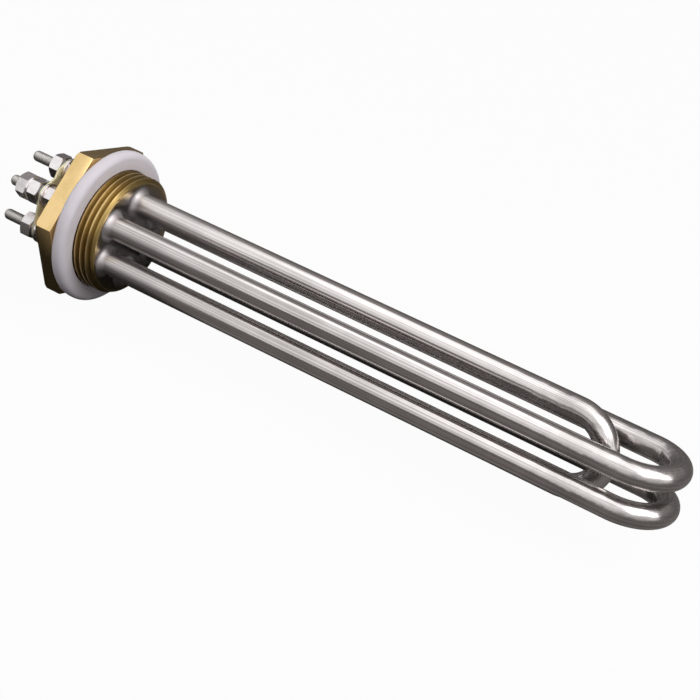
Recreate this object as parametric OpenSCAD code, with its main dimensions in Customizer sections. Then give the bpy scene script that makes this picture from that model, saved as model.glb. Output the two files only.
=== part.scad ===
// Screw plug immersion heater: three U-bent tubes brazed into a brass hexagon plug.
// The origin is the centre of the gasket's sealing face. +X runs along the plug towards
// the bends, and +Z is up. The terminals stand behind the plug, towards -X.

/* [Heater tubes] */
// Outside diameter of each tube
tube_d = 8; // [7:0.1:9]
// Wall of each tube
tube_wall = 0.6; // [0.4:0.05:0.8]
// Distance between the two legs of a U, centre to centre
leg_spacing = 25; // [23:0.1:26]
// Distance between the planes of the upper and the lower U
tier_gap = 12.5; // [11.5:0.1:14]
// Reach of the upper and the lower U past the sealing face
long_reach = 216; // [140:1:600]
// How much shorter the middle U is
middle_setback = 22; // [14:0.5:60]
// How far the ends of the upper and the lower U stand out of the back of the plug
tube_tail = 0.2; // [0:0.1:4]
// How far the ends of the middle U stand out of the back of the plug
middle_tail = 2.4; // [0:0.1:6]

/* [Screw plug] */
// Major diameter of the G 1 1/4 pipe thread
thread_d = 41.91; // [41.5:0.01:45]
// Pitch of the pipe thread, 11 turns to the inch
thread_pitch = 2.309; // [1.8:0.001:2.5]
// Length of the threaded end past the sealing face
thread_len = 8; // [6:0.1:20]
// Hexagon across its flats
hex_af = 49; // [46:0.1:60]
// Thickness of the hexagon
hex_h = 6.5; // [4:0.1:12]
// Turn of the hexagon against the tubes
hex_turn = 3.4; // [0:0.1:60]
// Chamfer that trims the hexagon's corners at the back
hex_chamfer = 0.8; // [0.3:0.1:2]
// Size of the braze fillet round each tube
braze_fillet = 1.3; // [0.6:0.1:1.4]

/* [Gasket] */
// Outside diameter of the gasket
gasket_d = 54; // [50:0.5:60]
// Thickness of the gasket
gasket_h = 5.1; // [3:0.1:6]
// Share of the gasket's thickness taken by each of the two rounded edges of its rim
gasket_rim = 0.43; // [0.1:0.01:0.48]

/* [Terminals] */
// Diameter of the terminal studs
stud_d = 4; // [3.6:0.1:4.4]
// Radius of the rounded stud tips
stud_round = 1.6; // [0.3:0.1:1.7]
// Length of stud left free past the outermost nut
stud_free = 4.7; // [3:0.1:15]
// Outside diameter of the end beads
bead_d = 7.4; // [6.8:0.1:9]
// Height of the end beads past the tube ends
bead_h = 4.3; // [2:0.1:8]
// Depth of the bead's spigot in the mouth of the tube
mouth_depth = 4; // [2:0.1:6]
// Seat nuts across their flats
seat_af = 7; // [6:0.1:8.5]
// Height of the seat nuts
seat_h = 3.2; // [2.4:0.1:4]
// Clamp nuts and wire nuts across their flats
clamp_af = 8; // [6:0.1:9]
// Height of the clamp nuts and wire nuts
clamp_h = 4.2; // [2.4:0.1:5]
// Outside diameter of the flat washers
washer_d = 9; // [8:0.1:10.5]
// Thickness of the flat washers
washer_h = 0.8; // [0.5:0.1:1.2]
// Outside diameter of the spring washers
spring_d = 7.6; // [7:0.1:9]
// Thickness of the spring washers
spring_h = 1; // [0.6:0.1:1.5]
// Width of the slit in the spring washers
spring_slit = 0.6; // [0.3:0.1:1]
// Width of the bus strips
strip_w = 8; // [6.5:0.1:9.5]
// Thickness of the bus strips
strip_h = 0.8; // [0.4:0.1:1.5]

/* [Inside the tubes] */
// Diameter of the terminal pins inside the tubes
pin_d = 2.2; // [1.6:0.1:2.3]
// Outside diameter of the heating coil
coil_d = 4.6; // [4.4:0.1:5]
// Thickness of the coil's wire
wire_d = 0.6; // [0.3:0.05:0.7]
// Unheated length of each leg past the end of the plug
cold_len = 25; // [10:1:40]
// Length of pin held in the coil's first turns
pin_grip = 5; // [2:0.5:8]

/* [Fits] */
// Gap between a tube and its hole in the plug, which the braze fills
braze_gap = 0.08; // [0.02:0.01:0.15]
// Gap round the packed pieces inside a tube
fill_gap = 0.05; // [0.02:0.01:0.1]
// Gap between the gasket and the thread that it slips over
gasket_gap = 0.15; // [0.05:0.05:0.5]
// Gap between a stud and the nuts on it
nut_gap = 0.08; // [0.02:0.01:0.15]
// Gap between a stud and the washers, beads and strips on it
hole_gap = 0.2; // [0.1:0.05:0.3]

/* [Hidden] */
$fn = 64;

// Whitworth thread form: 55 degrees, its crest and root taken as equal flats
thread_depth = 0.6403 * thread_pitch;
thread_flank = thread_depth * tan(27.5);
thread_flat = thread_pitch / 2 - thread_flank;
thread_r = thread_d / 2;
root_r = thread_r - thread_depth;
lead_in = 0.6;
crests = floor((thread_len - thread_flat - lead_in) / thread_pitch) + 1;

tube_r = tube_d / 2;
bore_r = tube_r - tube_wall;
stud_r = stud_d / 2;
coil_r = coil_d / 2;
grip_r = pin_d / 2 + fill_gap;
rim_r = gasket_rim * gasket_h;
rim_band = gasket_h - 2 * rim_r;
plug_back = -gasket_h - hex_h;

// Each U: height of its plane, turn about the plug's axis, reach past the sealing face, and its mouth's x
upper_u = [tier_gap / 2, 0, long_reach, plug_back - tube_tail];
lower_u = [-tier_gap / 2, 0, long_reach, plug_back - tube_tail];
middle_u = [0, 90, long_reach - middle_setback, plug_back - middle_tail];

// Where the six legs end behind the plug
legs = [
    for (u = [upper_u, lower_u, middle_u])
        for (side = [-1, 1])
            [u[3], side * leg_spacing / 2 * cos(u[1]), u[0] + side * leg_spacing / 2 * sin(u[1])]
];
upper_legs = [legs[0], legs[1]];
lower_legs = [legs[2], legs[3]];
middle_legs = [legs[4], legs[5]];
wire_legs = [legs[0], legs[3]];
plain_legs = [legs[1], legs[2], legs[4], legs[5]];
front_run = [legs[5], legs[0], legs[2]];
rear_run = [legs[4], legs[3], legs[1]];

// The pieces on a stud, one on the other, outwards from the mouth of the tube at 0
bead_x = -bead_h;
seat_nut_x = bead_x - seat_h;
flat_washer_x = seat_nut_x - washer_h;
strip_x = flat_washer_x - strip_h;
spring_x = strip_x - spring_h;
clamp_nut_x = spring_x - clamp_h;
wire_washer_x = clamp_nut_x - washer_h;
outer_nut_x = wire_washer_x - clamp_h;
stud_tip_x = outer_nut_x - stud_free;

// Inside a leg the stud ends under the bead, and the pin runs on into the coil
coil_x = thread_len + cold_len;
pin_end_x = coil_x + pin_grip;

brass = "#c8a046";
steel = "#a9a6a3";
zinc = "#c9cacc";
white = "#ece9ee";

// Turns an outline in the YZ plane, or a solid on it, to stand on the plane at x
module along(x) {
    translate([x, 0, 0]) rotate([90, 0, 90]) children();
}

module at_mouths(some_legs) {
    for (p = some_legs) translate(p) children();
}

module at_holes() {
    for (p = legs) translate([0, p[1], p[2]]) children();
}

module ring(outer, inner) {
    difference() {
        circle(outer);
        circle(inner);
    }
}

// Sweeps a round section down one leg, round the bend and back along the other leg
module u_sweep(start_x, reach) {
    bend_x = reach - tube_r - leg_spacing / 2;
    for (side = [-1, 1])
        translate([0, side * leg_spacing / 2, 0])
            along(start_x) linear_extrude(bend_x - start_x) children();
    translate([bend_x, 0, 0])
        rotate([0, 0, -90])
            rotate_extrude(angle = 180) translate([leg_spacing / 2, 0]) children();
}

module placed(u) {
    translate([0, 0, u[0]]) rotate([u[1], 0, 0]) children();
}

module both_legs() {
    for (side = [-1, 1]) translate([0, side * leg_spacing / 2, 0]) children();
}

module sheath(u) {
    color(steel) placed(u) u_sweep(u[3], u[2]) ring(tube_r, bore_r);
}

// The coil's turns as the sleeve that they fill: tight on the pins at both ends, then wider
module heating_coil(u) {
    wide_x = pin_end_x - wire_d;
    color("#8d8378") placed(u) {
        both_legs() {
            along(coil_x) linear_extrude(wide_x - coil_x) ring(grip_r + wire_d, grip_r);
            along(wide_x) linear_extrude(wire_d) ring(coil_r, grip_r);
        }
        u_sweep(pin_end_x, u[2]) ring(coil_r, coil_r - wire_d);
    }
}

// Packed magnesia: round the pins, round the coil, and as a core inside the coil
module insulation(u) {
    fill_r = bore_r - fill_gap;
    cold_x = u[3] + mouth_depth + fill_gap;
    grip_x = coil_x - fill_gap;
    wide_x = pin_end_x - wire_d - fill_gap;
    color("#f2efe6") placed(u) {
        both_legs() {
            along(cold_x) linear_extrude(grip_x - cold_x) ring(fill_r, grip_r);
            along(grip_x) linear_extrude(wide_x - grip_x) ring(fill_r, grip_r + wire_d + fill_gap);
        }
        u_sweep(wide_x, u[2]) ring(fill_r, coil_r + fill_gap);
        u_sweep(pin_end_x + fill_gap, u[2]) circle(coil_r - wire_d - fill_gap);
    }
}

// A stud with a rounded tip, carried on as a thinner pin inside the tube
module terminal_pin(pin_end) {
    length = mouth_depth - stud_tip_x;
    along(mouth_depth) rotate([0, 180, 0]) rotate_extrude() {
        square([stud_r - stud_round, length]);
        square([stud_r, length - stud_round]);
        translate([stud_r - stud_round, length - stud_round]) intersection() {
            circle(stud_round);
            square(stud_round);
        }
    }
    along(mouth_depth) cylinder(d = pin_d, h = pin_end - mouth_depth);
}

module terminal_pins(pair) {
    color("#8f8b87") for (p = pair) translate(p) terminal_pin(pin_end_x - p[0]);
}

// A bead that closes the mouth of the tube and carries the stack of nuts
module end_bead() {
    difference() {
        union() {
            along(bead_x) cylinder(d = bead_d, h = bead_h);
            along(0) cylinder(r = bore_r - fill_gap, h = mouth_depth - fill_gap);
        }
        along(bead_x) cylinder(r = stud_r + hole_gap, h = 3 * (bead_h + mouth_depth), center = true);
    }
}

module end_beads(pair) {
    color(white) at_mouths(pair) end_bead();
}

// Neck, thread and lead-in as one turned profile: radius, then place along the plug
module plug_profile() {
    crest_points = [
        for (i = [0 : crests - 1])
            let (x = i * thread_pitch)
            each concat(
                i > 0 ? [[root_r, x - thread_flank]] : [],
                [[thread_r, x], [thread_r, x + thread_flat]],
                i < crests - 1 ? [[root_r, x + thread_flat + thread_flank]] : []
            )
    ];
    polygon(concat(
        [[0, -gasket_h - hex_h / 2], [root_r, -gasket_h - hex_h / 2], [root_r, 0]],
        crest_points,
        [[root_r, thread_len], [0, thread_len]]
    ));
}

module plug_hexagon() {
    corner_r = hex_af / 2 / cos(30);
    intersection() {
        cylinder(r = corner_r, h = hex_h, $fn = 6);
        rotate_extrude() polygon([
            [0, 0], [corner_r - hex_chamfer, 0], [corner_r, hex_chamfer], [corner_r, hex_h], [0, hex_h]
        ]);
    }
}

module screw_plug() {
    color(brass) difference() {
        union() {
            along(plug_back) rotate(-hex_turn) plug_hexagon();
            along(0) rotate_extrude() plug_profile();
        }
        at_holes() along(plug_back - hex_h)
            cylinder(r = tube_r + braze_gap, h = thread_len - plug_back + 2 * hex_h);
    }
}

// A flat ring with a soft rim, which slips over the thread and sits against the hexagon
module sealing_gasket() {
    inner_r = thread_r + gasket_gap;
    width = gasket_d / 2 - inner_r;
    color(white) along(0) rotate_extrude() translate([inner_r, -gasket_h]) {
        square([width - rim_r, gasket_h]);
        translate([0, rim_r]) square([width, rim_band]);
        for (z = [rim_r, gasket_h - rim_r])
            translate([width - rim_r, z]) circle(rim_r);
    }
}

// Concave collars of braze metal where the tubes leave the plug
module braze_fillets() {
    color("#9a948c") at_holes() along(thread_len) rotate_extrude()
        translate([tube_r + braze_gap, 0]) difference() {
            square(braze_fillet);
            translate([braze_fillet, braze_fillet]) circle(braze_fillet);
        }
}

// A hexagon nut with both faces chamfered
module nut(af, h) {
    corner_r = af / 2 / cos(30);
    cut = (corner_r - af / 2) * tan(30);
    difference() {
        intersection() {
            cylinder(r = corner_r, h = h, $fn = 6);
            rotate_extrude() polygon([
                [0, 0], [af / 2, 0], [corner_r, cut], [corner_r, h - cut], [af / 2, h], [0, h]
            ]);
        }
        cylinder(r = stud_r + nut_gap, h = 3 * h, center = true);
    }
}

module seat_nuts() {
    color(zinc) at_mouths(legs) along(seat_nut_x) nut(seat_af, seat_h);
}

module clamp_nuts() {
    color(zinc) at_mouths(plain_legs) along(clamp_nut_x) nut(clamp_af, clamp_h);
}

// A pair of nuts on each of the two studs that take a wire
module wire_nuts() {
    color(zinc) at_mouths(wire_legs)
        for (x = [clamp_nut_x, outer_nut_x]) along(x) nut(clamp_af, clamp_h);
}

module washers(some_legs, x) {
    color(zinc) at_mouths(some_legs) along(x)
        linear_extrude(washer_h) ring(washer_d / 2, stud_r + hole_gap);
}

// A split ring, its slit slanted
module spring_washers() {
    color("#77757a") at_mouths(legs) along(spring_x) difference() {
        linear_extrude(spring_h) ring(spring_d / 2, stud_r + hole_gap);
        translate([spring_d / 2, 0, spring_h / 2])
            rotate([30, 0, 0]) cube([spring_d, spring_slit, 4 * spring_h], center = true);
    }
}

// A link from stud to stud, stepped where one stands out further than the other
module strip_link(from, to) {
    d = to - from;
    span = norm([d[1], d[2]]);
    pad = washer_d / 2 + hole_gap;
    near = d[0] == 0 ? [] : [[0, pad], [d[0], span - pad]];
    far = d[0] == 0 ? [] : [[d[0] + strip_h, span - pad], [strip_h, pad]];
    translate(from) rotate([atan2(d[2], d[1]), 0, 0])
        translate([strip_x, 0, -strip_w / 2]) linear_extrude(strip_w)
            polygon(concat([[0, 0]], near, [[d[0], span], [d[0] + strip_h, span]], far, [[strip_h, 0]]));
}

// Links with an eye round each stud
module bus_strip(run) {
    color("#cdb66b") difference() {
        union() {
            at_mouths(run) along(strip_x) cylinder(d = strip_w, h = strip_h);
            for (i = [0 : len(run) - 2]) strip_link(run[i], run[i + 1]);
        }
        at_mouths(run) along(strip_x) cylinder(r = stud_r + hole_gap, h = 5 * strip_h, center = true);
    }
}

screw_plug();
sealing_gasket();
braze_fillets();
sheath(upper_u);  // upper_sheath
sheath(lower_u);  // lower_sheath
sheath(middle_u);  // middle_sheath
insulation(upper_u);  // upper_insulation
insulation(lower_u);  // lower_insulation
insulation(middle_u);  // middle_insulation
heating_coil(upper_u);  // upper_heating_coil
heating_coil(lower_u);  // lower_heating_coil
heating_coil(middle_u);  // middle_heating_coil
terminal_pins(upper_legs);  // upper_terminal_pins
terminal_pins(lower_legs);  // lower_terminal_pins
terminal_pins(middle_legs);  // middle_terminal_pins
end_beads(upper_legs);  // upper_end_beads
end_beads(lower_legs);  // lower_end_beads
end_beads(middle_legs);  // middle_end_beads
seat_nuts();
washers(legs, flat_washer_x);  // flat_washers
bus_strip(front_run);  // front_bus_strip
bus_strip(rear_run);  // rear_bus_strip
spring_washers();
clamp_nuts();
washers(wire_legs, wire_washer_x);  // wire_washers
wire_nuts();
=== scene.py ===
import math

import bmesh
import bpy
from mathutils import Matrix, Vector, noise


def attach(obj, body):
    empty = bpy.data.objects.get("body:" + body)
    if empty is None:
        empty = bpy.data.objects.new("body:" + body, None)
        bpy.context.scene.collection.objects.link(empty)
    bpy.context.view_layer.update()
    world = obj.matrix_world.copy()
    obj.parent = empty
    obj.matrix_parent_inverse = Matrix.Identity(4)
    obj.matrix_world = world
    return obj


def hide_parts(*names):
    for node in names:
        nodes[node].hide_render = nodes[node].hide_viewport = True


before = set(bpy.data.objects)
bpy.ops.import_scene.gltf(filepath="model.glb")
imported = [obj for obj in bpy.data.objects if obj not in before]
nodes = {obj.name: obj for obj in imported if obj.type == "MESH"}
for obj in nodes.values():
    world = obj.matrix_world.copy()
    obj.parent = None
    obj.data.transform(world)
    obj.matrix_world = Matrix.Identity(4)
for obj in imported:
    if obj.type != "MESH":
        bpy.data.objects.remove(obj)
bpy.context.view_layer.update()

mm = 0.001
tiny = 1e-6  # points closer than this, in metres, are one point
scene = bpy.context.scene
scene.view_settings.view_transform = "Standard"
print("frame loaded:", len(nodes), "nodes")

# how the tubes lie in the plug, in mm: x of the mouths, half the gap of two legs, height of a flat U
bundleLook = {"mouth": -11.8, "middleMouth": -14.0, "halfGap": 12.5, "level": 6.25}


def flatLeg(side, level):
    return bundleLook["mouth"], side * bundleLook["halfGap"], level * bundleLook["level"]


# where the mouths of the six tube ends stand behind the plug
legs = {
    "upperFront": flatLeg(-1, 1), "upperRear": flatLeg(1, 1),
    "lowerFront": flatLeg(-1, -1), "lowerRear": flatLeg(1, -1),
    "middleLow": (bundleLook["middleMouth"], 0.0, -bundleLook["halfGap"]),
    "middleHigh": (bundleLook["middleMouth"], 0.0, bundleLook["halfGap"]),
}
allLegs = tuple(legs)
wireLegs = ("upperFront", "lowerRear")
plainLegs = ("upperRear", "lowerFront", "middleLow", "middleHigh")
legPairs = {"upper": ("upperFront", "upperRear"), "lower": ("lowerFront", "lowerRear"),
            "middle": ("middleLow", "middleHigh")}


# small helpers for node trees
def newMaterial(name, metallic=0.0):
    material = bpy.data.materials.new(name)
    material.use_nodes = True
    tree = material.node_tree
    tree.nodes.clear()
    out = tree.nodes.new("ShaderNodeOutputMaterial")
    shader = tree.nodes.new("ShaderNodeBsdfPrincipled")
    shader.inputs["Metallic"].default_value = metallic
    tree.links.new(shader.outputs["BSDF"], out.inputs["Surface"])
    return material, tree, shader


def addNode(tree, kind, **settings):
    node = tree.nodes.new(kind)
    for key, value in settings.items():
        if hasattr(node, key):
            setattr(node, key, value)
        else:
            node.inputs[key].default_value = value
    return node


def addGroup(tree, group, place, **values):
    node = tree.nodes.new("ShaderNodeGroup")
    node.node_tree = group
    for key, value in values.items():
        node.inputs[key].default_value = value
    tree.links.new(place, node.inputs["Place"])
    return node.outputs[0]


def addMath(tree, operation, first, second, clamp=False):
    node = addNode(tree, "ShaderNodeMath", operation=operation, use_clamp=clamp)
    for socket, value in zip(node.inputs, (first, second)):
        if isinstance(value, (int, float)):
            socket.default_value = value
        else:
            tree.links.new(value, socket)
    return node.outputs[0]


def addRange(tree, value, low, high, toLow, toHigh):
    node = addNode(tree, "ShaderNodeMapRange")
    node.inputs["From Min"].default_value = low
    node.inputs["From Max"].default_value = high
    node.inputs["To Min"].default_value = toLow
    node.inputs["To Max"].default_value = toHigh
    tree.links.new(value, node.inputs["Value"])
    return node.outputs["Result"]


def addMix(tree, factor, first, second):
    node = addNode(tree, "ShaderNodeMix", data_type="RGBA")
    tree.links.new(factor, node.inputs[0])
    for socket, value in ((node.inputs[6], first), (node.inputs[7], second)):  # the two colours
        if isinstance(value, tuple):
            socket.default_value = (*value, 1.0)
        else:
            tree.links.new(value, socket)
    return node.outputs[2]


def addShaderMix(tree, factor, first, second):
    node = addNode(tree, "ShaderNodeMixShader")
    for socket, value in zip(node.inputs, (factor, first, second)):
        tree.links.new(value, socket)
    return node.outputs[0]


def addNoise(tree, place, scale):
    node = addNode(tree, "ShaderNodeTexNoise", Scale=scale, Detail=2.0)
    tree.links.new(place, node.inputs["Vector"])
    return node.outputs["Fac"]


def addBump(tree, shader, height, strength, distance):
    bump = addNode(tree, "ShaderNodeBump")
    bump.inputs["Strength"].default_value = strength
    bump.inputs["Distance"].default_value = distance
    tree.links.new(height, bump.inputs["Height"])
    tree.links.new(bump.outputs["Normal"], shader.inputs["Normal"])


def objectPlace(tree):
    return addNode(tree, "ShaderNodeTexCoord").outputs["Object"]


def splitVector(tree, vector):
    node = addNode(tree, "ShaderNodeSeparateXYZ")
    tree.links.new(vector, node.inputs[0])
    return node.outputs


def newGroup(name, inputs, output):
    group = bpy.data.node_groups.new(name, "ShaderNodeTree")
    group.interface.new_socket("Place", in_out="INPUT", socket_type="NodeSocketVector")
    for label, value in inputs.items():
        socket = group.interface.new_socket(label, in_out="INPUT", socket_type="NodeSocketFloat")
        socket.default_value = value
    group.interface.new_socket(output, in_out="OUTPUT", socket_type="NodeSocketFloat")
    return group, group.nodes.new("NodeGroupInput"), group.nodes.new("NodeGroupOutput")


# fine lines left by drawing and polishing: long one way, tight the other
def makeDrawnLines():
    group, given, put = newGroup("drawnLines", {"Across": 9000.0, "Stretch": 0.012}, "Lines")
    x, y, z = splitVector(group, given.outputs["Place"])
    join = group.nodes.new("ShaderNodeCombineXYZ")
    along = addMath(group, "MULTIPLY", x, given.outputs["Stretch"])
    for value, socket in zip((along, y, z), join.inputs):
        group.links.new(value, socket)
    grain = addNode(group, "ShaderNodeTexNoise", Detail=3.0, Roughness=0.6)
    group.links.new(join.outputs[0], grain.inputs["Vector"])
    group.links.new(given.outputs["Across"], grain.inputs["Scale"])
    group.links.new(grain.outputs["Fac"], put.inputs["Lines"])
    return group


# cloudy marks of handling and heat
def makeSmudge():
    group, given, put = newGroup("handlingSmudge", {"Size": 120.0, "Low": 0.4, "High": 0.65}, "Mask")
    cloud = addNode(group, "ShaderNodeTexNoise", Detail=4.0, Roughness=0.55)
    group.links.new(given.outputs["Place"], cloud.inputs["Vector"])
    group.links.new(given.outputs["Size"], cloud.inputs["Scale"])
    spread = addNode(group, "ShaderNodeMapRange")
    group.links.new(cloud.outputs["Fac"], spread.inputs["Value"])
    group.links.new(given.outputs["Low"], spread.inputs["From Min"])
    group.links.new(given.outputs["High"], spread.inputs["From Max"])
    group.links.new(spread.outputs["Result"], put.inputs["Mask"])
    return group


drawnLines = makeDrawnLines()
handlingSmudge = makeSmudge()


# drawn and polished tube: lines run with the tube, heat has dulled it by the plug, the bends are crumpled
def makeStainless():
    look = {"light": (0.73, 0.69, 0.68), "dark": (0.38, 0.356, 0.347), "roughLow": 0.11, "roughHigh": 0.2,
            "fine": 2500.0, "coarse": 1000.0, "stretch": 0.003, "lineHeight": 0.5, "lineDistance": 3e-5,
            "streakFrom": 0.43, "streakTo": 0.58, "streakTone": 0.85, "smudge": 70.0, "legCloud": 0.2,
            "heatRough": 0.2, "heatFrom": 22.0, "heatTo": 75.0,
            "bendRough": 0.1, "bendFrom": 55.0, "bendTo": 22.0, "bendCloud": 0.55,
            "dent": 125.0, "dentHeight": 26.0}
    material, tree, shader = newMaterial("drawnStainless", 1.0)
    drawn = addNode(tree, "ShaderNodeAttribute", attribute_name="drawn").outputs["Vector"]
    fromPlug = splitVector(tree, objectPlace(tree))[0]
    heated = addRange(tree, fromPlug, look["heatFrom"] * mm, look["heatTo"] * mm, 1.0, 0.0)
    fromBend = addMath(tree, "ABSOLUTE", splitVector(tree, drawn)[0], 0.0)
    onBend = addRange(tree, fromBend, look["bendFrom"] * mm, look["bendTo"] * mm, 0.0, 1.0)
    fine = addGroup(tree, drawnLines, drawn, Across=look["fine"], Stretch=look["stretch"])
    coarse = addGroup(tree, drawnLines, drawn, Across=look["coarse"], Stretch=look["stretch"])
    streak = addMath(tree, "MULTIPLY", addMath(tree, "ADD", fine, coarse), 0.5)  # the mean of the two
    smudge = addGroup(tree, handlingSmudge, drawn, Size=look["smudge"])
    cloudiness = addRange(tree, onBend, 0.0, 1.0, look["legCloud"], look["bendCloud"])
    cloudy = addMath(tree, "MULTIPLY", smudge, cloudiness)
    lined = addRange(tree, streak, look["streakFrom"], look["streakTo"], 0.0, look["streakTone"])
    tone = addMath(tree, "ADD", lined, cloudy, clamp=True)
    tree.links.new(addMix(tree, tone, look["light"], look["dark"]), shader.inputs["Base Color"])
    rough = addRange(tree, tone, 0.0, 1.0, look["roughLow"], look["roughHigh"])
    rough = addMath(tree, "ADD", rough, addMath(tree, "MULTIPLY", heated, look["heatRough"]))
    rough = addMath(tree, "ADD", rough, addMath(tree, "MULTIPLY", onBend, look["bendRough"]))
    tree.links.new(rough, shader.inputs["Roughness"])
    dents = addMath(tree, "MULTIPLY", addNoise(tree, drawn, look["dent"]), onBend)
    dents = addMath(tree, "MULTIPLY", dents, look["dentHeight"])
    height = addMath(tree, "ADD", addMath(tree, "MULTIPLY", streak, look["lineHeight"]), dents)
    addBump(tree, shader, height, 1.0, look["lineDistance"])
    return material


blendSpan = (0.2, 0.8)  # where the blend of lines and smudges mostly lies


# a metal with drawn lines and smudges, half and half
def makeMetal(name, look):
    material, tree, shader = newMaterial(name, look["metallic"])
    place = objectPlace(tree)
    grain = addGroup(tree, drawnLines, place, Across=look["lines"], Stretch=look["stretch"])
    smudge = addGroup(tree, handlingSmudge, place, Size=look["smudge"])
    halfGrain, halfSmudge = (addMath(tree, "MULTIPLY", part, 0.5) for part in (grain, smudge))
    blend = addMath(tree, "ADD", halfGrain, halfSmudge)
    tree.links.new(addMix(tree, blend, look["light"], look["dark"]), shader.inputs["Base Color"])
    tree.links.new(addRange(tree, blend, *blendSpan, *look["rough"]), shader.inputs["Roughness"])
    addBump(tree, shader, grain, 1.0, look["lineBump"])
    return material


stainless = makeStainless()
studSteel = makeMetal("dullStud", {
    "light": (0.46, 0.44, 0.42), "dark": (0.39, 0.372, 0.355), "rough": (0.42, 0.52), "metallic": 1.0,
    "lines": 1800.0, "stretch": 1.0, "lineBump": 4e-7, "smudge": 400.0})
brightZinc = makeMetal("platedNut", {
    "light": (0.8, 0.76, 0.768), "dark": (0.68, 0.645, 0.648), "rough": (0.18, 0.28), "metallic": 1.0,
    "lines": 2200.0, "stretch": 1.0, "lineBump": 5e-7, "smudge": 500.0})
springSteel = makeMetal("springSteel", {
    "light": (0.26, 0.25, 0.25), "dark": (0.16, 0.155, 0.155), "rough": (0.3, 0.45), "metallic": 1.0,
    "lines": 2000.0, "stretch": 1.0, "lineBump": 3e-6, "smudge": 500.0})
stripBrass = makeMetal("rolledBrass", {  # under a yellow passivated film, so it is not a clean mirror
    "light": (0.86, 0.8, 0.54), "dark": (0.74, 0.67, 0.42), "rough": (0.32, 0.42), "metallic": 0.5,
    "lines": 3000.0, "stretch": 0.05, "lineBump": 2e-7, "smudge": 300.0})
coilWire = makeMetal("coilWire", {
    "light": (0.42, 0.4, 0.37), "dark": (0.28, 0.26, 0.24), "rough": (0.35, 0.5), "metallic": 1.0,
    "lines": 2400.0, "stretch": 1.0, "lineBump": 6e-6, "smudge": 300.0})


# turned brass: bright crests, grooves darkened with painted shade, and grey on the end face where the braze
# has run
def makeBrass():
    look = {"light": (0.76, 0.55, 0.265), "dark": (0.67, 0.475, 0.21), "rough": (0.18, 0.26),
            "lines": 1500.0, "stretch": 4.0, "lineBump": 3e-6, "smudge": 140.0,
            "grooveShade": (0.36, 0.25, 0.09), "grooveRough": 0.12, "crest": 20.92, "root": 20.5,
            "threadFrom": -0.3, "threadTo": 7.8,
            "end": (0.25, 0.235, 0.23), "endDark": (0.14, 0.132, 0.13), "endFrom": 7.85, "endTo": 7.95,
            "endRim": (0.3, 0.235, 0.14), "rimFrom": 15.5, "rimTo": 18.6, "endEdge": 19.2}
    material, tree, shader = newMaterial("turnedBrass", 1.0)
    place = objectPlace(tree)
    x, y, z = splitVector(tree, place)
    squares = addMath(tree, "ADD", addMath(tree, "MULTIPLY", y, y), addMath(tree, "MULTIPLY", z, z))
    radius = addMath(tree, "SQRT", squares, 0.0)
    grain = addGroup(tree, drawnLines, place, Across=look["lines"], Stretch=look["stretch"])
    smudge = addGroup(tree, handlingSmudge, place, Size=look["smudge"])
    # painted shade in the thread grooves, darkest at the root of the thread
    grooveShade = addRange(tree, radius, look["crest"] * mm, look["root"] * mm, 0.0, 1.0)
    grooveShade = addMath(tree, "MULTIPLY", grooveShade, addMath(tree, "GREATER_THAN", x, look["threadFrom"] * mm))
    grooveShade = addMath(tree, "MULTIPLY", grooveShade, addMath(tree, "LESS_THAN", x, look["threadTo"] * mm))
    brass = addMix(tree, smudge, look["light"], look["dark"])
    brass = addMix(tree, grooveShade, brass, look["grooveShade"])
    onRim = addRange(tree, radius, look["rimFrom"] * mm, look["rimTo"] * mm, 0.0, 1.0)
    grey = addMix(tree, smudge, look["end"], look["endDark"])
    grey = addMix(tree, onRim, grey, look["endRim"])
    onEnd = addRange(tree, x, look["endFrom"] * mm, look["endTo"] * mm, 0.0, 1.0)
    onEnd = addMath(tree, "MULTIPLY", onEnd, addMath(tree, "LESS_THAN", radius, look["endEdge"] * mm))
    tree.links.new(addMix(tree, onEnd, brass, grey), shader.inputs["Base Color"])
    rough = addRange(tree, smudge, 0.0, 1.0, *look["rough"])
    rough = addMath(tree, "ADD", rough, addMath(tree, "MULTIPLY", grooveShade, look["grooveRough"]))
    tree.links.new(rough, shader.inputs["Roughness"])
    addBump(tree, shader, grain, 1.0, look["lineBump"])
    return material


# braze metal: silvery up the tube, stained dark at its foot
def makeBrazeMetal():
    look = {"silver": (0.5, 0.463, 0.465), "stain": (0.2, 0.188, 0.187), "roughSilver": 0.5,
            "roughStain": 0.54, "riseFrom": 0.1, "riseTo": 0.75, "smudge": 260.0, "smudgeStain": 0.1,
            "smudgeBump": 4e-6}
    material, tree, shader = newMaterial("brazeMetal", 1.0)
    rise = addNode(tree, "ShaderNodeAttribute", attribute_name="rise").outputs["Fac"]
    smudge = addGroup(tree, handlingSmudge, objectPlace(tree), Size=look["smudge"])
    risen = addRange(tree, rise, look["riseFrom"], look["riseTo"], 0.0, 1.0)
    stained = addMath(tree, "MULTIPLY", smudge, look["smudgeStain"])
    clean = addMath(tree, "SUBTRACT", risen, stained, clamp=True)
    rough = addRange(tree, clean, 0.0, 1.0, look["roughStain"], look["roughSilver"])
    tree.links.new(addMix(tree, clean, look["stain"], look["silver"]), shader.inputs["Base Color"])
    tree.links.new(rough, shader.inputs["Roughness"])
    addBump(tree, shader, smudge, 1.0, look["smudgeBump"])
    return material


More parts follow.
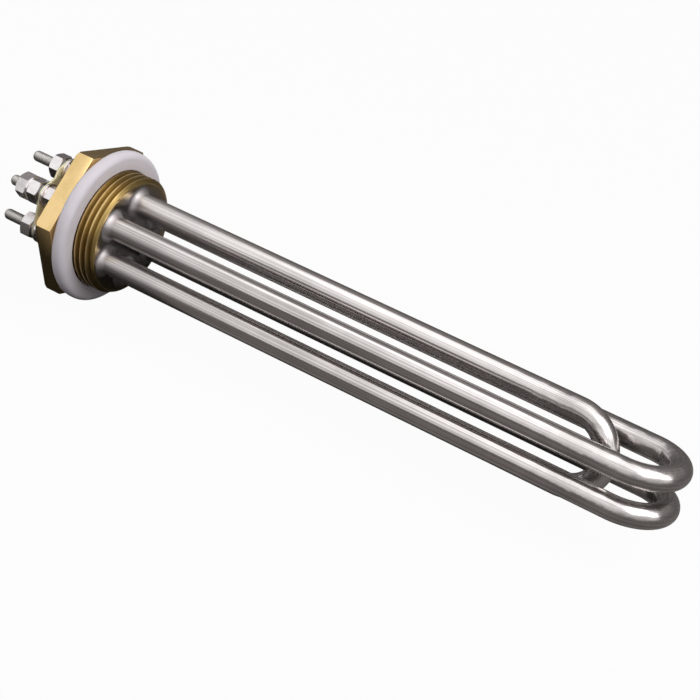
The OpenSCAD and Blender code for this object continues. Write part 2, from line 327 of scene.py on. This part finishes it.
# milky silicone
def makeSilicone():
    look = {"light": (0.63, 0.595, 0.635), "dark": (0.585, 0.548, 0.582), "rough": (0.55, 0.68),
            "smudge": 70.0, "milk": 0.15, "milkRadius": (0.004, 0.004, 0.0045), "milkScale": 0.6,
            "gloss": 0.2, "grain": 1400.0, "grainStrength": 0.6, "grainBump": 6e-6}
    material, tree, shader = newMaterial("milkySilicone")
    shader.inputs["Subsurface Weight"].default_value = look["milk"]
    shader.inputs["Subsurface Radius"].default_value = look["milkRadius"]
    shader.inputs["Subsurface Scale"].default_value = look["milkScale"]
    shader.inputs["Specular IOR Level"].default_value = look["gloss"]
    place = objectPlace(tree)
    smudge = addGroup(tree, handlingSmudge, place, Size=look["smudge"])
    tree.links.new(addMix(tree, smudge, look["light"], look["dark"]), shader.inputs["Base Color"])
    tree.links.new(addRange(tree, smudge, 0.0, 1.0, *look["rough"]), shader.inputs["Roughness"])
    addBump(tree, shader, addNoise(tree, place, look["grain"]), look["grainStrength"], look["grainBump"])
    return material


# pale matt bead and packed powder
def makeMatt(name, look):
    material, tree, shader = newMaterial(name)
    smudge = addGroup(tree, handlingSmudge, objectPlace(tree), Size=look["smudge"])
    tree.links.new(addMix(tree, smudge, look["light"], look["dark"]), shader.inputs["Base Color"])
    tree.links.new(addRange(tree, smudge, 0.0, 1.0, *look["rough"]), shader.inputs["Roughness"])
    addBump(tree, shader, smudge, look["bumpStrength"], look["bump"])
    return material


turnedBrass = makeBrass()
brazeMetal = makeBrazeMetal()
milkySilicone = makeSilicone()
beadMatt = makeMatt("beadMatt", {
    "light": (0.88, 0.87, 0.85), "dark": (0.8, 0.78, 0.75), "rough": (0.52, 0.68), "smudge": 500.0,
    "bumpStrength": 0.5, "bump": 2e-5})
magnesia = makeMatt("packedMagnesia", {
    "light": (0.9, 0.89, 0.85), "dark": (0.8, 0.78, 0.72), "rough": (0.77, 0.93), "smudge": 900.0,
    "bumpStrength": 0.5, "bump": 2e-5})
print("materials ready")


# small helpers for meshes
def vertsOf(geometry):
    return [part for part in geometry if isinstance(part, bmesh.types.BMVert)]


def edgesOf(geometry):
    return [part for part in geometry if isinstance(part, bmesh.types.BMEdge)]


def weld(bm, distance=tiny):
    bmesh.ops.remove_doubles(bm, verts=bm.verts, dist=distance)


def faceOutwards(bm):
    bmesh.ops.recalc_face_normals(bm, faces=bm.faces)


# turns a bmesh into a piece of the heater, with edges over the sharp angle left sharp
def finishPiece(name, bm, material, replaced, sharp=32.0):
    weld(bm)
    faceOutwards(bm)
    for face in bm.faces:
        face.smooth = True
    for edge in bm.edges:
        edge.smooth = len(edge.link_faces) == 2 and edge.calc_face_angle(0.0) < math.radians(sharp)
    mesh = bpy.data.meshes.new(name)
    bm.to_mesh(mesh)
    bm.free()
    mesh.materials.append(material)
    piece = bpy.data.objects.new(name, mesh)
    scene.collection.objects.link(piece)
    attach(piece, "root")
    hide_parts(replaced)
    print("piece", name, len(mesh.polygons), "faces")


# copies what was made on a mouth at the origin to each leg, with a turn of its own
def spreadToLegs(bm, names, turns=(0.0,)):
    first = bm.verts[:]
    source = first + bm.edges[:] + bm.faces[:]
    for i, name in enumerate(names):
        turn = Matrix.Rotation(math.radians(turns[i % len(turns)]), 4, "X")
        move = Matrix.Translation(Vector(legs[name]) * mm) @ turn
        copied = bmesh.ops.duplicate(bm, geom=source)["geom"]
        bmesh.ops.transform(bm, matrix=move, verts=vertsOf(copied))
    bmesh.ops.delete(bm, geom=first, context="VERTS")


# a chain of points in the xz plane, as x along the plug and radius
def addChain(bm, points, closed=False):
    verts = [bm.verts.new((x * mm, 0, r * mm)) for x, r in points]
    edges = [bm.edges.new(pair) for pair in zip(verts, verts[1:])]
    if closed:
        edges.append(bm.edges.new((verts[-1], verts[0])))
    return verts, edges


def spinChain(bm, points, steps, closed=True):
    verts, edges = addChain(bm, points, closed)
    bmesh.ops.spin(bm, geom=verts + edges, cent=(0, 0, 0), axis=(1, 0, 0), angle=2 * math.pi, steps=steps,
                   use_merge=True)


# edges that run round the axis, at a radius in mm between the two given
def hoopEdges(bm, least=0.0, most=math.inf):
    hoops = []
    for edge in bm.edges:
        first, second = (v.co for v in edge.verts)
        radius = first.yz.length
        level = abs(first.x - second.x) < tiny and abs(radius - second.yz.length) < tiny
        if level and least < radius / mm < most:
            hoops.append(edge)
    return hoops


def sharpEdges(bm, angle=1.0):
    return [edge for edge in bm.edges if edge.calc_face_angle(0.0) > angle]


def bevelEdges(bm, edges, width, segments):
    bmesh.ops.bevel(bm, geom=edges, offset=width * mm, offset_type="OFFSET", segments=segments, profile=0.5,
                    affect="EDGES", material=-1, clamp_overlap=True)


# heater tubes: a ring pushed along one leg, spun round the bend and pushed back
tubeLook = {"radius": 4.0, "bore": 3.4, "reach": 216.0, "middleReach": 194.0,
            "around": 64, "bendSteps": 48, "legSteps": 12, "sharp": 40.0}


def pushLoop(bm, loop, stride, steps):
    for _ in range(steps):
        made = bmesh.ops.extrude_edge_only(bm, edges=loop)["geom"]
        bmesh.ops.translate(bm, vec=(stride, 0, 0), verts=vertsOf(made))
        loop = [edge for edge in edgesOf(made) if len(edge.link_faces) == 1]
    return loop


def makeTube(name, replaced, mouth, reach, place):
    look = tubeLook
    halfGap = bundleLook["halfGap"] * mm
    bendX = (reach - look["radius"] - bundleLook["halfGap"]) * mm
    start = mouth * mm
    stride = (bendX - start) / look["legSteps"]
    upright = Matrix.Translation((start, -halfGap, 0)) @ Matrix.Rotation(math.pi / 2, 4, "Y")
    bm = bmesh.new()
    firstEnds, lastEnds = [], []
    for radius in (look["radius"], look["bore"]):
        ring = bmesh.ops.create_circle(bm, segments=look["around"], radius=radius * mm,
                                       matrix=upright)["verts"]
        loop = list(dict.fromkeys(edge for v in ring for edge in v.link_edges))
        firstEnds += loop
        loop = pushLoop(bm, loop, stride, look["legSteps"])
        verts = list(dict.fromkeys(v for edge in loop for v in edge.verts))
        bent = bmesh.ops.spin(bm, geom=verts + loop, cent=(bendX, 0, 0), axis=(0, 0, 1), angle=math.pi,
                              steps=look["bendSteps"])["geom_last"]
        lastEnds += pushLoop(bm, edgesOf(bent), -stride, look["legSteps"])
    bmesh.ops.bridge_loops(bm, edges=firstEnds)
    bmesh.ops.bridge_loops(bm, edges=lastEnds)
    # the way along the tube from the middle of the bend, outwards and up, for the drawn lines
    drawn = bm.verts.layers.float_vector.new("drawn")
    for v in bm.verts:
        x, y, z = v.co
        if x <= bendX:
            side = 1 if y > 0 else -1
            along = (halfGap * math.pi / 2 - x + bendX) * side
            out = y * side - halfGap
        else:
            along = math.atan2(y, x - bendX) * halfGap
            out = math.hypot(x - bendX, y) - halfGap
        v[drawn] = (along, out, z)
    bmesh.ops.transform(bm, matrix=place, verts=bm.verts)
    finishPiece(name, bm, stainless, replaced, look["sharp"])


for tube, side in (("upper", 1), ("lower", -1)):
    makeTube(tube + "HeaterTube", tube + "_sheath", bundleLook["mouth"], tubeLook["reach"],
             Matrix.Translation((0, 0, side * bundleLook["level"] * mm)))
makeTube("middleHeaterTube", "middle_sheath", bundleLook["middleMouth"], tubeLook["middleReach"],
         Matrix.Rotation(math.pi / 2, 4, "X"))
print("tubes ready")

# thread form: slope of the flanks, what the root cuts off, and two small distances in metres
threadForm = {"slope": 1.36, "rootCut": 0.18, "weld": 2e-6, "cutWithin": 1e-7}


# a threaded rod: one profile along the whole rod, spun one turn while it moves on by one pitch
def threadShell(bm, look, limit):
    form = threadForm
    perTurn, pitch, depth = look["perTurn"], look["pitch"], look["crest"] - look["root"]
    first = math.floor(look["from"] / pitch) - 2  # spare turns at both ends are cut off below
    last = math.ceil(look["to"] / pitch) + 1
    points = []
    for i in range(first * perTurn, last * perTurn + 1):
        turn = i / perTurn
        tooth = abs(2 * (turn % 1.0) - 1) * form["slope"] - form["rootCut"]
        points.append((turn * pitch, look["root"] + depth * min(1.0, max(0.0, tooth))))
    verts, edges = addChain(bm, points)
    bmesh.ops.spin(bm, geom=verts + edges, cent=(0, 0, 0), axis=(1, 0, 0), angle=2 * math.pi,
                   steps=look["steps"], dvec=(pitch / look["steps"] * mm, 0, 0), use_merge=False)
    weld(bm, form["weld"])
    for x, outward in ((look["from"], -1), (look["to"], 1)):
        bmesh.ops.bisect_plane(bm, geom=bm.verts[:] + bm.edges[:] + bm.faces[:], dist=form["cutWithin"],
                               plane_co=(x * mm, 0, 0), plane_no=(outward, 0, 0), clear_outer=True)
    for v in bm.verts:
        radius = math.hypot(v.co.y, v.co.z)
        most = limit(v.co.x / mm) * mm
        if radius > most:
            v.co.y *= most / radius
            v.co.z *= most / radius
    weld(bm, form["weld"])
    bmesh.ops.holes_fill(bm, edges=[edge for edge in bm.edges if len(edge.link_faces) == 1], sides=0)
    faceOutwards(bm)


def looseObject(bm):
    mesh = bpy.data.meshes.new("tool")
    bm.to_mesh(mesh)
    bm.free()
    tool = bpy.data.objects.new("tool", mesh)
    scene.collection.objects.link(tool)
    return tool


# joins or cuts the body with the exact solver; what comes out is the body's new mesh
def combine(body, bm, operation):
    tool = looseObject(bm)
    change = body.modifiers.new("combine", "BOOLEAN")
    change.operation = operation
    change.solver = "EXACT"
    change.object = tool
    bpy.context.view_layer.update()
    made = bpy.data.meshes.new_from_object(body.evaluated_get(bpy.context.evaluated_depsgraph_get()))
    body.modifiers.clear()
    body.data = made
    bpy.data.objects.remove(tool)


def addRod(bm, sides, radius, length, place):
    bmesh.ops.create_cone(bm, cap_ends=True, segments=sides, radius1=radius * mm, radius2=radius * mm,
                          depth=length * mm, matrix=place @ Matrix.Rotation(math.pi / 2, 4, "Y"))


# screw plug: hexagon, neck and pipe thread, bored for the tubes
plugLook = {"acrossFlats": 49.0, "back": -11.6, "front": -5.1, "turn": 3.4, "edge": 0.22, "edgeSteps": 3,
            "backChamfer": 0.8, "blankSides": 120, "blankSpare": 0.001, "blankPast": 1.0,
            "crest": 20.955, "root": 19.476, "pitch": 2.309, "from": 0.0, "to": 8.0, "steps": 144,
            "perTurn": 14, "leadFrom": 6.9, "endEase": 0.25, "endEdge": 0.01,
            "neckSides": 144, "neckInHexagon": 2.0, "neckInThread": 1.0,
            "boreGap": 0.08, "boreSides": 64, "boreLength": 40.0, "sharp": 30.0}


def makePlug():
    look = plugLook
    back, front, root = look["back"], look["front"], look["root"]
    corner = look["acrossFlats"] / 2 / math.cos(math.pi / 6)
    turned = Matrix.Rotation(math.radians(-look["turn"]), 4, "X")
    bm = bmesh.new()
    addRod(bm, 6, corner, front - back, Matrix.Translation(((front + back) / 2 * mm, 0, 0)) @ turned)
    bevelEdges(bm, bm.edges[:], look["edge"], look["edgeSteps"])
    body = looseObject(bm)

    bm = bmesh.new()  # the turned blank that trims the corners at the back
    spare, chamfer, past = look["blankSpare"], look["backChamfer"], front + look["blankPast"]
    blank = corner + spare
    spinChain(bm, [(back - spare, 0), (back - spare, blank - chamfer), (back + chamfer, blank), (past, blank),
                   (past, 0)], look["blankSides"], False)
    weld(bm)
    combine(body, bm, "INTERSECT")

    def lead(x):
        reach = (x - look["leadFrom"]) / (look["to"] - look["leadFrom"])
        ease = look["endEase"] if x > look["to"] - look["endEdge"] else 0
        return look["crest"] - (look["crest"] - root) * max(0.0, reach) - ease

    bm = bmesh.new()
    threadShell(bm, look, lead)
    combine(body, bm, "UNION")
    bm = bmesh.new()  # the neck, sunk into the hexagon and the thread
    neckBack, neckFront = front - look["neckInHexagon"], look["from"] + look["neckInThread"]
    spinChain(bm, [(neckBack, 0), (neckBack, root), (neckFront, root), (neckFront, 0)],
              look["neckSides"], False)
    weld(bm)
    combine(body, bm, "UNION")
    for _, y, z in legs.values():
        bm = bmesh.new()
        addRod(bm, look["boreSides"], tubeLook["radius"] + look["boreGap"], look["boreLength"],
               Matrix.Translation((0, y * mm, z * mm)))
        combine(body, bm, "DIFFERENCE")
    bm = bmesh.new()
    bm.from_mesh(body.data)
    bpy.data.objects.remove(body)
    finishPiece("brassScrewPlug", bm, turnedBrass, "screw_plug", look["sharp"])


makePlug()

# sealing gasket: a square ring whose outer edges are rolled over
gasketLook = {"back": -5.1, "front": 0.0, "inner": 21.105, "outer": 27.0, "sides": 160,
              "roll": 2.193, "rollSteps": 12, "innerRoll": 0.25, "innerRollSteps": 4, "sharp": 50.0}


def makeGasket():
    look = gasketLook
    back, front, inner, outer = look["back"], look["front"], look["inner"], look["outer"]
    bm = bmesh.new()
    spinChain(bm, [(back, inner), (back, outer), (front, outer), (front, inner)], look["sides"])
    faceOutwards(bm)
    middle = (inner + outer) / 2
    bevelEdges(bm, hoopEdges(bm, least=middle), look["roll"], look["rollSteps"])
    bevelEdges(bm, hoopEdges(bm, most=middle), look["innerRoll"], look["innerRollSteps"])
    finishPiece("siliconeGasket", bm, milkySilicone, "sealing_gasket", look["sharp"])


makeGasket()

# braze: a hollow flare round each tube, uneven at its foot, that stops short of the thread
brazeLook = {"tube": 4.02, "face": 8.0, "sunk": 0.15, "foot": 1.95, "climb": 2.4, "rise": 14, "around": 96,
             "swell": 0.2, "lumps": 1.3, "lumpStep": 7.3, "edgeRadius": 19.1, "sharp": 40.0}


def makeBraze():
    look = brazeLook
    tube, face, foot, edgeRadius = (look[key] * mm for key in ("tube", "face", "foot", "edgeRadius"))
    sunk = look["face"] - look["sunk"]
    points = [(sunk, look["tube"]), (sunk, look["tube"] + look["foot"])]
    for i in range(look["rise"]):
        angle = i / look["rise"] * math.pi / 2
        points.append((look["face"] + look["climb"] * (1 - math.cos(angle)),
                       look["tube"] + look["foot"] * (1 - math.sin(angle))))
    points.append((look["face"] + look["climb"], look["tube"]))
    bm = bmesh.new()
    rise = bm.verts.layers.float.new("rise")
    for index, (_, y, z) in enumerate(legs.values()):
        before = set(bm.verts)
        spinChain(bm, points, look["around"])
        for v in [v for v in bm.verts if v not in before]:
            away = math.hypot(v.co.y, v.co.z) - tube
            v[rise] = 1.0 - away / foot
            angle = math.atan2(v.co.z, v.co.y)
            across, up = math.cos(angle), math.sin(angle)
            lump = noise.noise(Vector((across * look["lumps"], up * look["lumps"], index * look["lumpStep"])))
            grow = 1.0 + look["swell"] * lump
            v.co.y, v.co.z = across * (tube + away * grow) + y * mm, up * (tube + away * grow) + z * mm
            if v.co.x > face:
                v.co.x = face + (v.co.x - face) * grow
            radius = math.hypot(v.co.y, v.co.z)
            if radius > edgeRadius:
                v.co.y *= edgeRadius / radius
                v.co.z *= edgeRadius / radius
    finishPiece("brazeCollars", bm, brazeMetal, "braze_fillets", look["sharp"])


makeBraze()
print("plug, gasket and braze ready")

# terminal studs: threaded outside the tube, a plain pin inside it
studLook = {"crest": 1.93, "root": 1.74, "pitch": 0.7, "from": -24.0, "to": 4.0, "steps": 28, "perTurn": 6,
            "round": 1.6, "pin": 1.1, "pinEnd": 38.0, "pinSides": 24, "turns": (0.0, 140.0), "sharp": 50.0}


def makeStuds(name, replaced, names):
    look = studLook

    def tip(x):
        gone = look["round"] - (x - look["from"])
        if gone <= 0:
            return look["crest"]
        return look["crest"] - look["round"] + math.sqrt(max(0.0, look["round"] ** 2 - gone ** 2))

    bm = bmesh.new()
    threadShell(bm, look, tip)
    pinStart, pinEnd = look["to"], look["pinEnd"] - legs[names[0]][0]
    spinChain(bm, [(pinStart, 0), (pinStart, look["pin"]), (pinEnd, look["pin"]), (pinEnd, 0)],
              look["pinSides"], False)
    spreadToLegs(bm, names, look["turns"])
    finishPiece(name, bm, studSteel, replaced, look["sharp"])


for tube, names in legPairs.items():
    makeStuds(tube + "Studs", tube + "_terminal_pins", names)

# end beads, with a spigot in the mouth of the tube
beadLook = {"back": -4.3, "mouth": 0.0, "spigotEnd": 3.95, "radius": 3.7, "spigot": 3.35, "bore": 2.2,
            "sides": 48, "edge": 0.35, "edgeSteps": 4}


def makeBeads(name, replaced, names):
    look = beadLook
    back, mouth, end = look["back"], look["mouth"], look["spigotEnd"]
    radius, spigot, bore = look["radius"], look["spigot"], look["bore"]
    bm = bmesh.new()
    spinChain(bm, [(back, bore), (back, radius), (mouth, radius), (mouth, spigot), (end, spigot),
                   (end, bore)], look["sides"])
    faceOutwards(bm)
    bevelEdges(bm, hoopEdges(bm, least=(spigot + radius) / 2), look["edge"], look["edgeSteps"])
    spreadToLegs(bm, names)
    finishPiece(name, bm, beadMatt, replaced)


for tube, names in legPairs.items():
    makeBeads(tube + "Beads", tube + "_end_beads", names)
print("studs and beads ready")

# where the layers on a stud begin, as x from the mouth of its tube
stackX = {"seatNut": -7.5, "flatWasher": -8.3, "springWasher": -10.1, "clampNut": -14.3, "wireWasher": -15.1,
          "wireNut": -19.3}

# hexagon nuts: loops from the bore out over the chamfer and down the flats; sizes are across flats and height
nutLook = {"seat": (7.0, 3.2), "clamp": (8.0, 4.2), "bore": 2.05, "mouth": 2.3, "mouthDepth": 0.25,
           "faceEase": 0.03, "faceDrop": 0.02, "chamfer": 30.0, "perSide": 8, "sharp": 25.0,
           "seatTurns": (-6, -7, -14, 2, -5, 11), "clampTurns": (6, -20, 5, 1), "wireTurns": (1, 8),
           "outerTurns": (17, -6)}


def addNut(bm, names, x, size, turns):
    look = nutLook
    flats, height = size
    flat = flats / 2
    slope = math.tan(math.radians(look["chamfer"]))
    upright = Matrix.Rotation(math.pi / 2, 4, "Z") @ Matrix.Rotation(math.pi / 2, 4, "X")
    part = bmesh.new()
    loops = []

    def roundLoop(radius, depth):
        made = bmesh.ops.create_circle(part, segments=6 * look["perSide"], radius=radius * mm,
                                       matrix=Matrix.Translation((depth * mm, 0, 0)) @ upright)["verts"]
        loops.append([edge for edge in part.edges if edge.verts[0] in made and edge.verts[1] in made])
        return made

    def hexLoop(front):  # a round loop pulled out to the flats, then dropped by the chamfer
        for v in roundLoop(flat, 0):
            angle = math.degrees(math.atan2(v.co.z, v.co.y))
            radius = flat / math.cos(math.radians((angle % 60) - 30))
            drop = (radius - flat) * slope + look["faceDrop"]
            v.co.y *= radius / flat
            v.co.z *= radius / flat
            v.co.x = (height - drop if front else drop) * mm

    roundLoop(look["bore"], look["mouthDepth"])
    roundLoop(look["mouth"], 0)
    roundLoop(flat - look["faceEase"], 0)
    hexLoop(False)
    hexLoop(True)
    roundLoop(flat - look["faceEase"], height)
    roundLoop(look["mouth"], height)
    roundLoop(look["bore"], height - look["mouthDepth"])
    for inner, outer in zip(loops, loops[1:] + loops[:1]):
        bmesh.ops.bridge_loops(part, edges=inner + outer)
    bmesh.ops.translate(part, vec=(x * mm, 0, 0), verts=part.verts)
    spreadToLegs(part, names, turns)
    mesh = bpy.data.meshes.new("nut")
    part.to_mesh(mesh)
    part.free()
    bm.from_mesh(mesh)
    bpy.data.meshes.remove(mesh)


def makeNuts(name, replaced, *layers):
    bm = bmesh.new()
    for layer in layers:
        addNut(bm, *layer)
    finishPiece(name, bm, brightZinc, replaced, nutLook["sharp"])


makeNuts("seatNuts", "seat_nuts", (allLegs, stackX["seatNut"], nutLook["seat"], nutLook["seatTurns"]))
makeNuts("clampNuts", "clamp_nuts", (plainLegs, stackX["clampNut"], nutLook["clamp"], nutLook["clampTurns"]))
makeNuts("wireNuts", "wire_nuts", (wireLegs, stackX["clampNut"], nutLook["clamp"], nutLook["wireTurns"]),
         (wireLegs, stackX["wireNut"], nutLook["clamp"], nutLook["outerTurns"]))

# flat washers
washerLook = {"radius": 4.5, "hole": 2.2, "thick": 0.8, "sides": 56, "edge": 0.12, "edgeSteps": 2}


def makeWashers(name, replaced, names, back):
    look = washerLook
    front = back + look["thick"]
    bm = bmesh.new()
    spinChain(bm, [(back, look["hole"]), (back, look["radius"]), (front, look["radius"]),
                   (front, look["hole"])], look["sides"])
    faceOutwards(bm)
    bevelEdges(bm, hoopEdges(bm), look["edge"], look["edgeSteps"])
    spreadToLegs(bm, names)
    finishPiece(name, bm, brightZinc, replaced)


makeWashers("flatWashers", "flat_washers", allLegs, stackX["flatWasher"])
makeWashers("wireWashers", "wire_washers", wireLegs, stackX["wireWasher"])

# spring washers: a square section spun short of a full turn
springLook = {"thick": 1.0, "slack": 0.03, "radius": 3.8, "hole": 2.2, "gap": 9.0, "steps": 44, "edge": 0.08,
              "edgeSteps": 2, "turns": (20, 75, 200, 310, 150, 260)}


def makeSprings():
    look = springLook
    back = stackX["springWasher"] + look["slack"]
    front = stackX["springWasher"] + look["thick"] - look["slack"]
    bm = bmesh.new()
    verts, edges = addChain(bm, [(back, look["hole"]), (back, look["radius"]), (front, look["radius"]),
                                 (front, look["hole"])], True)
    spun = bmesh.ops.spin(bm, geom=verts + edges, cent=(0, 0, 0), axis=(1, 0, 0),
                          angle=math.radians(360 - look["gap"]), steps=look["steps"])["geom_last"]
    bmesh.ops.contextual_create(bm, geom=edges)
    bmesh.ops.contextual_create(bm, geom=edgesOf(spun))
    faceOutwards(bm)
    bevelEdges(bm, sharpEdges(bm), look["edge"], look["edgeSteps"])
    spreadToLegs(bm, allLegs, look["turns"])
    finishPiece("springWashers", bm, springSteel, "spring_washers")


makeSprings()

# bus strips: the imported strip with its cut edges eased
stripLook = {"edge": 0.1, "edgeSteps": 2, "flatWithin": 1.0}


def makeStrip(name, node):
    look = stripLook
    bm = bmesh.new()
    bm.from_mesh(nodes[node].data)
    weld(bm)
    bmesh.ops.dissolve_limit(bm, angle_limit=math.radians(look["flatWithin"]), verts=bm.verts, edges=bm.edges)
    bevelEdges(bm, sharpEdges(bm), look["edge"], look["edgeSteps"])
    finishPiece(name, bm, stripBrass, node)


makeStrip("frontBusStrip", "front_bus_strip")
makeStrip("rearBusStrip", "rear_bus_strip")
print("terminals ready")

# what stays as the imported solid, inside the tubes
for tube in legPairs:
    for kind, material in (("insulation", magnesia), ("heating_coil", coilWire)):
        data = nodes[f"{tube}_{kind}"].data
        data.materials.clear()
        data.materials.append(material)

# camera at the photo's place
cameraLook = {"right": (0.82349, 0.51219, 0.24398), "up": (-0.3953, 0.20954, 0.89433),
              "back": (0.40695, -0.83292, 0.37502), "place": (0.35131, -0.51802, 0.23064),
              "lens": 100.248, "sensor": 36.0, "nearest": 0.01}
cameraData = bpy.data.cameras.new("photoCamera")
cameraData.sensor_width = cameraLook["sensor"]
cameraData.lens = cameraLook["lens"]
cameraData.clip_start = cameraLook["nearest"]
camera = bpy.data.objects.new("photoCamera", cameraData)
cameraColumns = [cameraLook[key] for key in ("right", "up", "back", "place")]
camera.matrix_world = Matrix([*zip(*cameraColumns), (0, 0, 0, 1)])
scene.collection.objects.link(camera)
scene.camera = camera


# what the camera sees, or a mirror or glass shows
def seenDirectly(tree):
    path = addNode(tree, "ShaderNodeLightPath")
    seen = addMath(tree, "MAXIMUM", path.outputs["Is Camera Ray"], path.outputs["Is Glossy Ray"])
    return addMath(tree, "MAXIMUM", seen, path.outputs["Is Transmission Ray"])


# sky: white to look at, softer as a light
skyLook = {"seen": 1.0, "light": 0.71}


def makeSky():
    world = bpy.data.worlds.new("studio")
    world.use_nodes = True
    scene.world = world
    tree = world.node_tree
    tree.nodes.clear()
    seen = addNode(tree, "ShaderNodeBackground", Color=(1, 1, 1, 1), Strength=skyLook["seen"])
    light = addNode(tree, "ShaderNodeBackground", Color=(1, 1, 1, 1), Strength=skyLook["light"])
    sky = addShaderMix(tree, seenDirectly(tree), light.outputs[0], seen.outputs[0])
    tree.links.new(sky, addNode(tree, "ShaderNodeOutputWorld").inputs["Surface"])


makeSky()


def makePlane(name, sizeX, sizeY, place, material):
    bm = bmesh.new()
    bmesh.ops.create_grid(bm, x_segments=1, y_segments=1, size=0.5,
                          matrix=place @ Matrix.Diagonal((sizeX, sizeY, 1, 1)))
    mesh = bpy.data.meshes.new(name)
    bm.to_mesh(mesh)
    bm.free()
    mesh.materials.append(material)
    plane = bpy.data.objects.new(name, mesh)
    scene.collection.objects.link(plane)
    return plane


# pale floor, in metres: nearly white to look at, and it keeps a faint shadow
floorLook = {"height": -0.0275, "size": 8.0, "color": (0.95, 0.95, 0.95), "rough": 0.9, "glow": 0.96}


def makeFloor():
    look = floorLook
    material, tree, shader = newMaterial("paleFloor")
    shader.inputs["Base Color"].default_value = (*look["color"], 1)
    shader.inputs["Roughness"].default_value = look["rough"]
    shader.inputs["Specular IOR Level"].default_value = 0.0
    glow = addNode(tree, "ShaderNodeEmission", Color=(1, 1, 1, 1), Strength=1.0)
    seen = addMath(tree, "MULTIPLY", seenDirectly(tree), look["glow"])
    out = next(node for node in tree.nodes if node.type == "OUTPUT_MATERIAL")
    tree.links.new(addShaderMix(tree, seen, shader.outputs[0], glow.outputs[0]), out.inputs["Surface"])
    makePlane("paleFloor", look["size"], look["size"], Matrix.Translation((0, 0, look["height"])), material)


makeFloor()

# boards that glow for the metal to mirror, in metres: a table with a painted shadow along the heater, and one
# behind it that glows lighter with height
# on the table, near is the tone of the painted shadow under the heater and far the tone of the rest of the
# table
tableLook = {"size": 4.0, "lift": 0.0005, "near": (0.02, 0.019, 0.018), "far": (0.195, 0.183, 0.176),
             "from": 0.01, "to": 0.028, "line": 0.016, "plugFrom": 0.01, "plugTo": 0.045, "plugWider": 0.034,
             "bendFrom": 0.16, "bendTo": 0.21, "bendPast": 0.03}
rearLook = {"width": 4.0, "height": 1.5, "place": 0.4, "near": (0.135, 0.127, 0.123),
            "far": (0.3, 0.283, 0.277), "from": 0.15, "to": 0.6}


# distance from the line of the painted shadow under the heater: the painted shadow is wider under the plug
# and gone under the bends
def besideShade(tree, x, y, z):
    look = tableLook
    aside = addMath(tree, "ABSOLUTE", addMath(tree, "SUBTRACT", y, look["line"]), 0.0)
    underPlug = addRange(tree, x, look["plugFrom"], look["plugTo"], look["plugWider"], 0.0)  # wider there
    underBends = addRange(tree, x, look["bendFrom"], look["bendTo"], 0.0, look["bendPast"])  # gone there
    return addMath(tree, "MAXIMUM", addMath(tree, "SUBTRACT", aside, underPlug), underBends)


def heightFromAxis(tree, x, y, z):
    return z


# a glow that goes from the near tone to the far one with what the measure gives
def makeBoardGlow(name, look, measure):
    material = bpy.data.materials.new(name)
    material.use_nodes = True
    tree = material.node_tree
    tree.nodes.clear()
    reach = measure(tree, *splitVector(tree, objectPlace(tree)))
    tone = addMix(tree, addRange(tree, reach, look["from"], look["to"], 0.0, 1.0), look["near"], look["far"])
    glow = addNode(tree, "ShaderNodeEmission", Strength=1.0)
    tree.links.new(tone, glow.inputs["Color"])
    tree.links.new(glow.outputs[0], addNode(tree, "ShaderNodeOutputMaterial").inputs["Surface"])
    return material


tablePlace = Matrix.Translation((0, 0, floorLook["height"] + tableLook["lift"]))
rearPlace = (Matrix.Translation((0, rearLook["place"], floorLook["height"] + rearLook["height"] / 2))
             @ Matrix.Rotation(math.pi / 2, 4, "X"))
boards = [
    makePlane("tableBoard", tableLook["size"], tableLook["size"], tablePlace,
              makeBoardGlow("tableBoard", tableLook, besideShade)),
    makePlane("rearBoard", rearLook["width"], rearLook["height"], rearPlace,
              makeBoardGlow("rearBoard", rearLook, heightFromAxis)),
]
for board in boards:
    board.visible_camera = False
    board.visible_shadow = False
    board.visible_transmission = False

# lamps: a large soft box overhead, one by the bends and a weak one in front
lampLooks = {
    "boxLight": {"power": 2.6, "size": (1.17, 1.0), "place": (0.165, -0.34, 0.9), "aim": (0.165, -0.34, 0.0)},
    "sideLight": {"power": 6.4, "size": (0.9, 0.7), "place": (0.75, -0.22, 0.75), "aim": (0.0, 0.0, 0.0)},
    "frontLight": {"power": 0.8, "size": (1.8, 0.9), "place": (-0.3, -1.2, 0.58), "aim": (0.1, 0.0, 0.0)},
}


def makeLamp(name, look):
    light = bpy.data.lights.new(name, "AREA")
    light.shape = "RECTANGLE"
    light.size, light.size_y = look["size"]
    light.energy = look["power"]
    place = Vector(look["place"])
    lamp = bpy.data.objects.new(name, light)
    lamp.location = place
    lamp.rotation_euler = (Vector(look["aim"]) - place).to_track_quat("-Z", "Y").to_euler()
    scene.collection.objects.link(lamp)


for name, look in lampLooks.items():
    makeLamp(name, look)
print("stage ready")
